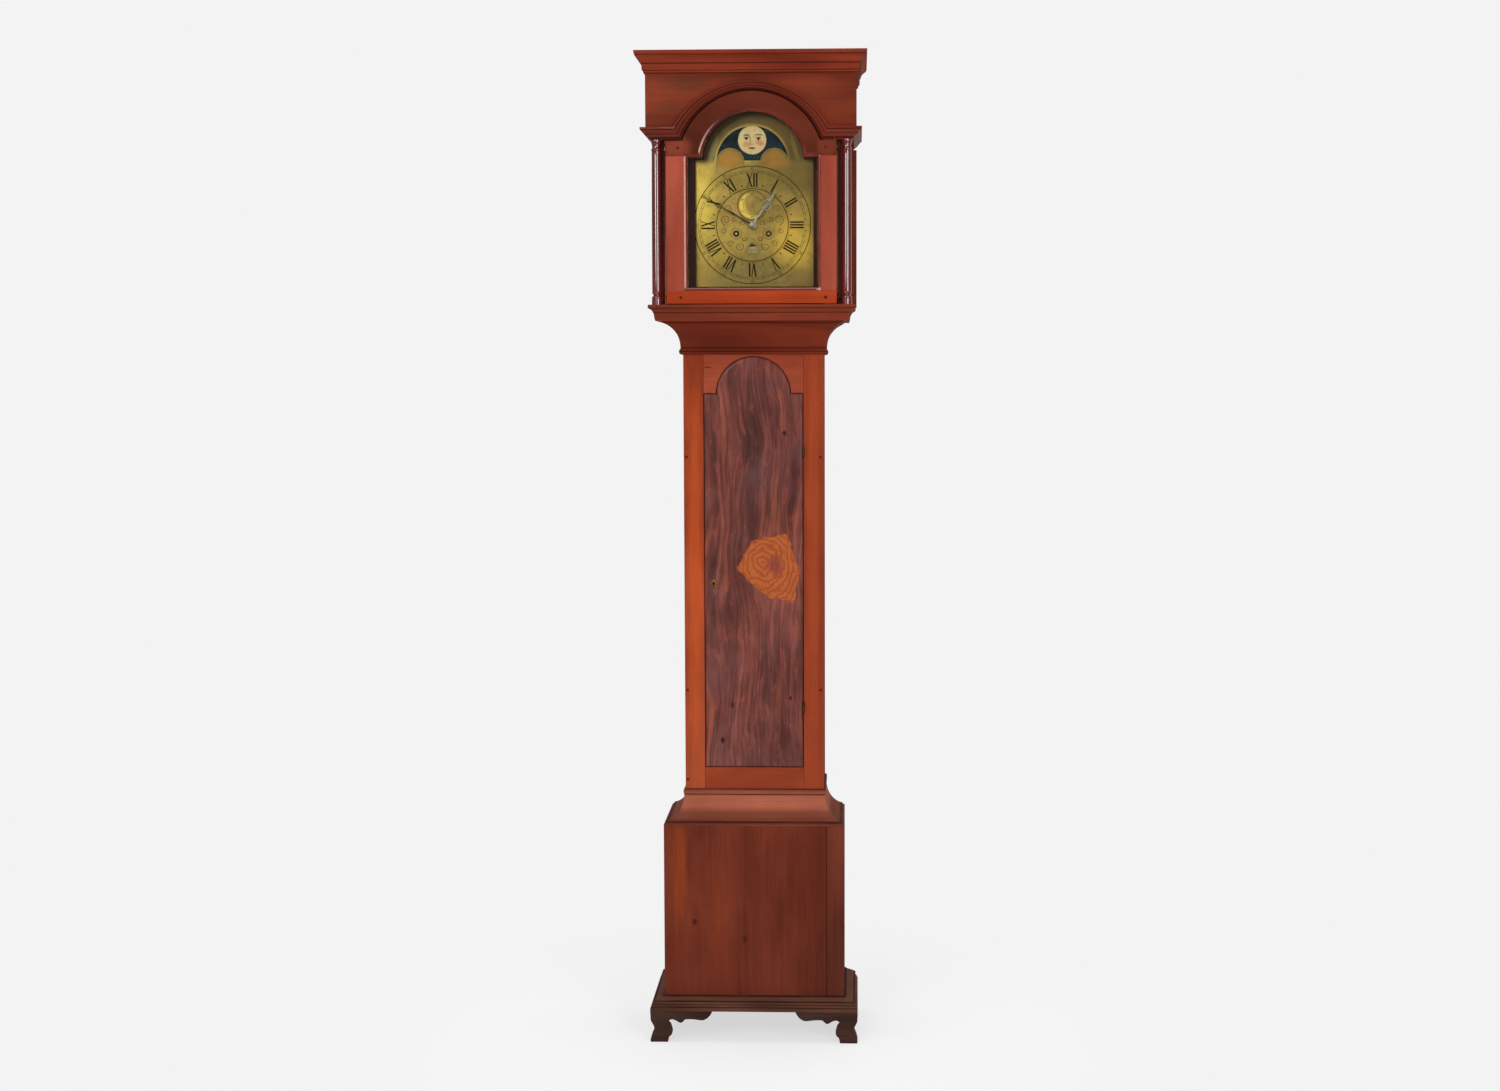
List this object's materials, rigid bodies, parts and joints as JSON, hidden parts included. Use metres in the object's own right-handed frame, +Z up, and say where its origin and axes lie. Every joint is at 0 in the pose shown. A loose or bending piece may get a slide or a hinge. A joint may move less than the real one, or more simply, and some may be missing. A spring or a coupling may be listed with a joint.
{
  "type": "tall case clock",
  "caption": "Tall case clock with a hood that slides off, glazed hood door, hinged waist door, arched brass dial with moon disc, and a weight-driven pendulum movement.",
  "frame": {"origin": "middle of the space that the clock takes up, on the floor under its feet", "axes": "+Z up, the dial and both doors face -Y, and +X is the viewer's right"},
  "size_m": [0.536, 0.298, 2.33],
  "materials": {
    "base_wood": "gloss",
    "waist_wood": "gloss",
    "door_wood": "gloss",
    "hood_wood": "gloss",
    "mask_wood": "satin",
    "pine": "matte",
    "case_brass": "satin",
    "dial_brass": "satin",
    "movement_brass": "satin",
    "bell_metal": "satin",
    "steel": "satin",
    "lead": "matte",
    "glass": "gloss",
    "moon_paint": "satin",
    "gut": "matte"
  },
  "bodies": {
    "case": {"base_front_board": "base_wood", "base_side_left": "base_wood", "base_side_right": "base_wood", "base_moulding": "base_wood", "base_cove_moulding": "base_wood", "foot_front_left": "base_wood", "foot_rear_left": "base_wood", "foot_front_right": "base_wood", "foot_rear_right": "base_wood", "waist_front_frame": "waist_wood", "waist_side_left": "waist_wood", "waist_side_right": "waist_wood", "backboard": "pine", "throat_moulding": "waist_wood", "seatboard": "pine", "front_plate": "movement_brass", "back_plate": "movement_brass", "dial_plate": "dial_brass", "bell": "bell_metal", "going_line": "gut", "strike_line": "gut"},
    "waist_door": {"waist_door": "door_wood", "door_escutcheon": "case_brass", "waist_hinge_upper": "case_brass", "waist_hinge_lower": "case_brass"},
    "hood": {"hood_base_frame": "hood_wood", "hood_side_left": "hood_wood", "hood_side_right": "hood_wood", "hood_moulding": "hood_wood", "hood_front_board": "hood_wood", "hood_top_board": "pine", "cornice_moulding": "hood_wood", "hood_column_left": "hood_wood", "hood_column_right": "hood_wood", "dial_mask": "mask_wood"},
    "hood_door": {"hood_door_frame": "hood_wood", "hood_door_glass": "glass", "hood_door_pivot_top": "case_brass", "hood_door_pivot_bottom": "case_brass"},
    "moon": {"moon_disc": "moon_paint"},
    "calendar": {"calendar_ring": "dial_brass"},
    "minutes": {"cannon_wheel": "movement_brass", "minute_hand": "steel"},
    "motion": {"minute_wheel": "movement_brass"},
    "hours": {"hour_wheel": "movement_brass", "hour_hand": "steel"},
    "third": {"third_wheel": "movement_brass"},
    "centre": {"centre_wheel": "movement_brass"},
    "great": {"going_great_wheel": "movement_brass"},
    "escape": {"escape_wheel": "movement_brass"},
    "pendulum": {"pendulum_rod": "steel", "pendulum_bob": "case_brass"},
    "pallets": {"anchor": "steel"},
    "hammer": {"strike_hammer": "steel"},
    "going_weight": {"going_weight": "lead"},
    "going_barrel": {"going_barrel": "movement_brass"},
    "going_pulley": {"going_pulley": "movement_brass"},
    "strike_weight": {"strike_weight": "lead"},
    "strike_barrel": {"strike_barrel": "movement_brass"},
    "strike_pulley": {"strike_pulley": "movement_brass"}
  },
  "joints": [
    {"name": "waist_door_hinge", "type": "hinge", "parent": "case", "child": "waist_door", "pos_m": [0.1177, -0.0508, 1.1], "axis": [0, 0, 1], "range_deg": [0, 120]},
    {"name": "hood_slide", "type": "slide", "parent": "case", "child": "hood", "axis": [0, -1, 0], "range_m": [0, 0.32]},
    {"name": "hood_door_hinge", "type": "hinge", "parent": "hood", "child": "hood_door", "pos_m": [0.192, -0.1164, 1.94], "axis": [0, 0, 1], "range_deg": [0, 120]},
    {"name": "moon_disc_turn", "type": "hinge", "parent": "case", "child": "moon", "pos_m": [0, -0.0603, 2.083], "axis": [0, 1, 0], "continuous": true},
    {"name": "calendar_ring_turn", "type": "hinge", "parent": "case", "child": "calendar", "pos_m": [0, -0.0576, 1.9375], "axis": [0, 1, 0], "continuous": true},
    {"name": "minute_hand_turn", "type": "hinge", "parent": "case", "child": "minutes", "pos_m": [0, -0.06, 1.9375], "axis": [0, 1, 0], "continuous": true},
    {"name": "minute_wheel_turn", "type": "hinge", "parent": "case", "child": "motion", "pos_m": [0, -0.05, 1.9075], "axis": [0, 1, 0], "continuous": true},
    {"name": "hour_hand_turn", "type": "hinge", "parent": "case", "child": "hours", "pos_m": [0, -0.06, 1.9375], "axis": [0, 1, 0], "continuous": true},
    {"name": "third_wheel_turn", "type": "hinge", "parent": "case", "child": "third", "pos_m": [0.01357, -0.0112, 1.96369], "axis": [0, 1, 0], "continuous": true},
    {"name": "centre_wheel_turn", "type": "hinge", "parent": "case", "child": "centre", "pos_m": [0, 0, 1.9375], "axis": [0, 1, 0], "continuous": true},
    {"name": "great_wheel_turn", "type": "hinge", "parent": "case", "child": "great", "pos_m": [0.038, 0.004, 1.9175], "axis": [0, 1, 0], "continuous": true},
    {"name": "escape_wheel_turn", "type": "hinge", "parent": "case", "child": "escape", "pos_m": [0, 0.006, 1.983], "axis": [0, 1, 0], "continuous": true},
    {"name": "pendulum_swing", "type": "hinge", "parent": "case", "child": "pendulum", "pos_m": [0, 0.04, 2.0075], "axis": [0, 1, 0], "range_deg": [-2.5, 2.5]},
    {"name": "anchor_rock", "type": "hinge", "parent": "case", "child": "pallets", "pos_m": [0, 0.006, 2.0075], "axis": [0, 1, 0], "range_deg": [-2.5, 2.5]},
    {"name": "strike_hammer_swing", "type": "hinge", "parent": "case", "child": "hammer", "pos_m": [-0.052, 0.009, 2.0035], "axis": [0, 1, 0], "range_deg": [-14, 6], "stiffness_Nm_per_rad": 0.05},
    {"name": "going_weight_travel", "type": "slide", "parent": "case", "child": "going_weight", "axis": [0, 0, 1], "range_m": [-0.861, 0.245], "deforming": ["going_line"]},
    {"name": "going_barrel_turn", "type": "hinge", "parent": "case", "child": "going_barrel", "pos_m": [0.038, -0.018, 1.9175], "axis": [0, 1, 0], "continuous": true},
    {"name": "going_pulley_turn", "type": "hinge", "parent": "going_weight", "child": "going_pulley", "pos_m": [0.038, -0.002, 1.5], "axis": [0, 1, 0], "continuous": true},
    {"name": "strike_weight_travel", "type": "slide", "parent": "case", "child": "strike_weight", "axis": [0, 0, 1], "range_m": [-0.751, 0.355], "deforming": ["strike_line"]},
    {"name": "strike_barrel_turn", "type": "hinge", "parent": "case", "child": "strike_barrel", "pos_m": [-0.038, -0.018, 1.9175], "axis": [0, 1, 0], "continuous": true},
    {"name": "strike_pulley_turn", "type": "hinge", "parent": "strike_weight", "child": "strike_pulley", "pos_m": [-0.038, -0.002, 1.39], "axis": [0, 1, 0], "continuous": true}
  ],
  "couplings": [
    {"joint": "minute_wheel_turn", "follows": "minute_hand_turn", "ratio": -1},
    {"joint": "hour_hand_turn", "follows": "minute_hand_turn", "ratio": 0.083333},
    {"joint": "centre_wheel_turn", "follows": "third_wheel_turn", "ratio": -0.13333},
    {"joint": "great_wheel_turn", "follows": "third_wheel_turn", "ratio": 0.011111},
    {"joint": "escape_wheel_turn", "follows": "third_wheel_turn", "ratio": -8},
    {"joint": "anchor_rock", "follows": "pendulum_swing", "ratio": 1},
    {"joint": "going_barrel_turn", "follows": "going_weight_travel", "rad_per_m": 90.909},
    {"joint": "going_pulley_turn", "follows": "going_weight_travel", "rad_per_m": 45.455},
    {"joint": "strike_barrel_turn", "follows": "strike_weight_travel", "rad_per_m": 90.909},
    {"joint": "strike_pulley_turn", "follows": "strike_weight_travel", "rad_per_m": 45.455}
  ]
}
